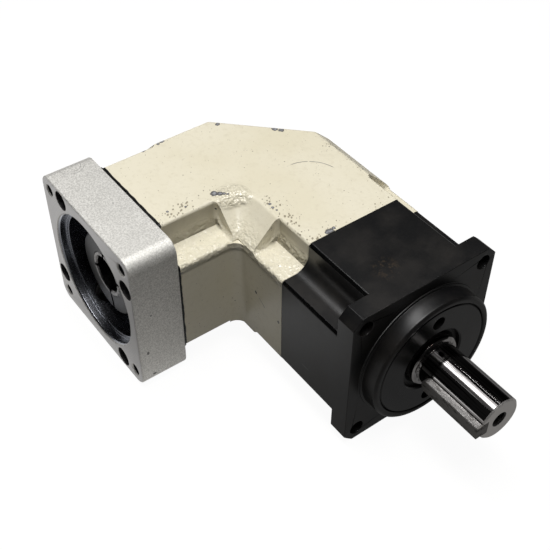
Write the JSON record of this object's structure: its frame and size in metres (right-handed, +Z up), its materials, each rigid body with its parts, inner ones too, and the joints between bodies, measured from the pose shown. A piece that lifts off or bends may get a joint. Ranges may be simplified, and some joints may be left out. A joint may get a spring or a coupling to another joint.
{
  "type": "right angle gear reducer",
  "caption": "Right angle servo gear reducer: clamp-hub motor input, mitre bevel stage in a cream cast elbow, planetary stage in a black square housing, keyed solid output shaft",
  "frame": {"origin": "centre of the output flange face, on the output shaft's axis", "axes": "+X along the output axis, out of the shaft; the motor side opens towards -Y; +Z up, normal to the plane of both axes"},
  "size_m": [0.158, 0.1021, 0.06],
  "materials": {
    "cream_paint": "gloss",
    "black_oxide_steel": "satin",
    "black_screw_steel": "satin",
    "blasted_aluminium": "satin",
    "polished_steel": "polished",
    "key_steel": "satin",
    "ground_steel": "satin",
    "bearing_steel": "polished",
    "gear_steel": "satin",
    "spring_steel": "satin",
    "seal_rubber": "matte",
    "gasket_fibre": "matte"
  },
  "bodies": {
    "housing": {"elbow_housing": "cream_paint", "planetary_housing": "black_oxide_steel", "ring_gear": "gear_steel", "housing_screws": "black_screw_steel", "output_bearing_cap": "black_oxide_steel", "output_oil_seal": "seal_rubber", "adapter_plate": "blasted_aluminium", "adapter_screws": "black_screw_steel", "input_gasket": "gasket_fibre", "input_oil_seal": "seal_rubber", "access_plug": "black_screw_steel", "output_front_bearing_outer": "ground_steel", "output_rear_bearing_outer": "ground_steel", "sun_bearing_outer_rings": "ground_steel", "input_bearing_outer_rings": "ground_steel"},
    "output_rotor": {"output_carrier": "polished_steel", "planet_pins": "ground_steel", "shaft_key": "key_steel", "output_front_bearing_inner": "ground_steel", "output_front_bearing_balls": "bearing_steel", "output_rear_bearing_inner": "ground_steel", "output_rear_bearing_balls": "bearing_steel"},
    "sun_rotor": {"bevel_gear": "gear_steel", "sun_shaft": "gear_steel", "sun_bearing_inner_rings": "ground_steel", "sun_bearing_balls": "bearing_steel", "sun_bearing_spacer": "ground_steel"},
    "input_rotor": {"input_shaft": "ground_steel", "bevel_pinion": "gear_steel", "clamp_ring": "black_oxide_steel", "clamp_screw": "black_screw_steel", "input_bearing_inner_rings": "ground_steel", "input_bearing_balls": "bearing_steel", "input_bearing_spacer": "ground_steel", "input_snap_ring": "spring_steel"},
    "planet_1": {"planet_gear_1": "gear_steel", "needle_rollers_1": "bearing_steel"},
    "planet_2": {"planet_gear_2": "gear_steel", "needle_rollers_2": "bearing_steel"},
    "planet_3": {"planet_gear_3": "gear_steel", "needle_rollers_3": "bearing_steel"}
  },
  "joints": [
    {"name": "output_spin", "type": "hinge", "parent": "housing", "child": "output_rotor", "pos_m": [0, 0, 0], "axis": [1, 0, 0], "continuous": true},
    {"name": "sun_spin", "type": "hinge", "parent": "housing", "child": "sun_rotor", "pos_m": [-0.091, 0, 0], "axis": [1, 0, 0], "continuous": true},
    {"name": "input_spin", "type": "hinge", "parent": "housing", "child": "input_rotor", "pos_m": [-0.091, 0, 0], "axis": [0, 1, 0], "continuous": true},
    {"name": "planet_spin_1", "type": "hinge", "parent": "output_rotor", "child": "planet_1", "pos_m": [0, 0, 0.012], "axis": [1, 0, 0], "continuous": true},
    {"name": "planet_spin_2", "type": "hinge", "parent": "output_rotor", "child": "planet_2", "pos_m": [0, -0.01039, -0.006], "axis": [1, 0, 0], "continuous": true},
    {"name": "planet_spin_3", "type": "hinge", "parent": "output_rotor", "child": "planet_3", "pos_m": [0, 0.01039, -0.006], "axis": [1, 0, 0], "continuous": true}
  ],
  "couplings": [
    {"joint": "sun_spin", "follows": "output_spin", "ratio": 4},
    {"joint": "input_spin", "follows": "output_spin", "ratio": 4},
    {"joint": "planet_spin_1", "follows": "output_spin", "ratio": -3},
    {"joint": "planet_spin_2", "follows": "output_spin", "ratio": -3},
    {"joint": "planet_spin_3", "follows": "output_spin", "ratio": -3}
  ]
}
